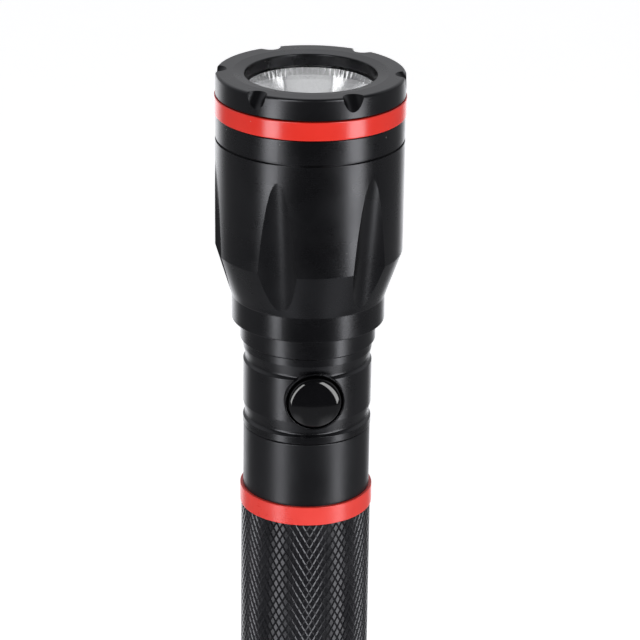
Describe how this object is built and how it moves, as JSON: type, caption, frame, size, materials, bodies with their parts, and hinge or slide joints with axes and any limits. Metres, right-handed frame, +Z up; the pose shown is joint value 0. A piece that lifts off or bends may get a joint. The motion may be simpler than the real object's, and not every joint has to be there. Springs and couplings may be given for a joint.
{
  "type": "tactical flashlight",
  "caption": "Hand torch with a fluted wide head, side push switch, accent rings, knurled battery tube and screw-off bezel and tail cap; stands upright on its tail.",
  "frame": {"origin": "centre of the flat tail that the torch stands on", "axes": "+Z runs up the axis to the front glass, -Y is the side with the push button, +X is to the right when looking at the button"},
  "size_m": [0.041, 0.041, 0.24],
  "materials": {
    "black_aluminium": "satin black anodised",
    "red_aluminium": "red anodised, satin gloss",
    "clear_glass": "clear polished",
    "silicone": "matte",
    "mirror_plastic": "vacuum metallised",
    "led_ceramic": "ceramic package with phosphor",
    "board_white": "white solder mask",
    "board_green": "green solder mask",
    "white_plastic": "moulded",
    "black_plastic": "moulded",
    "button_plastic": "glossy black",
    "steel": "nickel plated",
    "bare_aluminium": "turned",
    "brass": "turned",
    "rubber": "matte black",
    "wire_jacket": "wire insulation",
    "cell_sleeve": "shrink sleeve over a steel can"
  },
  "bodies": {
    "torch": {"battery_cell_1": "cell_sleeve", "battery_cell_2": "cell_sleeve", "battery_cell_3": "cell_sleeve", "battery_plus_contact": "brass", "button_ring": "black_aluminium", "carrier_retaining_ring": "brass", "driver_board": "board_green", "driver_retaining_ring": "brass", "handle_accent_ring": "red_aluminium", "handle_seal": "rubber", "handle_tube": "black_aluminium", "head_accent_ring": "red_aluminium", "head_housing": "black_aluminium", "heat_sink": "bare_aluminium", "led_board": "board_white", "led_board_screws": "steel", "led_emitter": "led_ceramic", "led_gasket": "white_plastic", "led_leads": "wire_jacket", "neck_seal": "rubber", "reflector": "mirror_plastic", "switch_body": "black_plastic", "switch_carrier": "black_plastic", "switch_housing": "black_aluminium", "switch_leads": "wire_jacket", "switch_spring": "steel"},
    "bezel": {"bezel_ring": "black_aluminium", "bezel_seal": "rubber"},
    "front_glass": {"lens": "clear_glass", "lens_seal": "silicone"},
    "button": {"button_cap": "button_plastic", "switch_plunger": "white_plastic"},
    "tail_cap": {"tail_cap": "black_aluminium", "tail_cap_seal": "rubber"},
    "tail_contact": {"tail_spring": "steel", "tail_contact_plate": "steel"}
  },
  "joints": [
    {"name": "button_press", "type": "slide", "parent": "torch", "child": "button", "axis": [0, 1, 0], "range_m": [0, 0.0015], "stiffness_N_per_m": 900, "springref_m": -0.0008, "deforming": ["switch_spring"]},
    {"name": "bezel_lift", "type": "slide", "parent": "torch", "child": "front_glass", "axis": [0, 0, 1], "range_m": [0, 0.0075]},
    {"name": "bezel_turn", "type": "hinge", "parent": "front_glass", "child": "bezel", "pos_m": [0, 0, 0.235], "axis": [0, 0, 1], "range_deg": [0, 2160]},
    {"name": "tail_travel", "type": "slide", "parent": "torch", "child": "tail_contact", "axis": [0, 0, -1], "range_m": [0, 0.0075]},
    {"name": "tail_turn", "type": "hinge", "parent": "tail_contact", "child": "tail_cap", "pos_m": [0, 0, 0.01], "axis": [0, 0, -1], "range_deg": [0, 2160]}
  ],
  "couplings": [
    {"joint": "bezel_turn", "follows": "bezel_lift", "rad_per_m": 5026.5},
    {"joint": "tail_turn", "follows": "tail_travel", "rad_per_m": 5026.5}
  ]
}
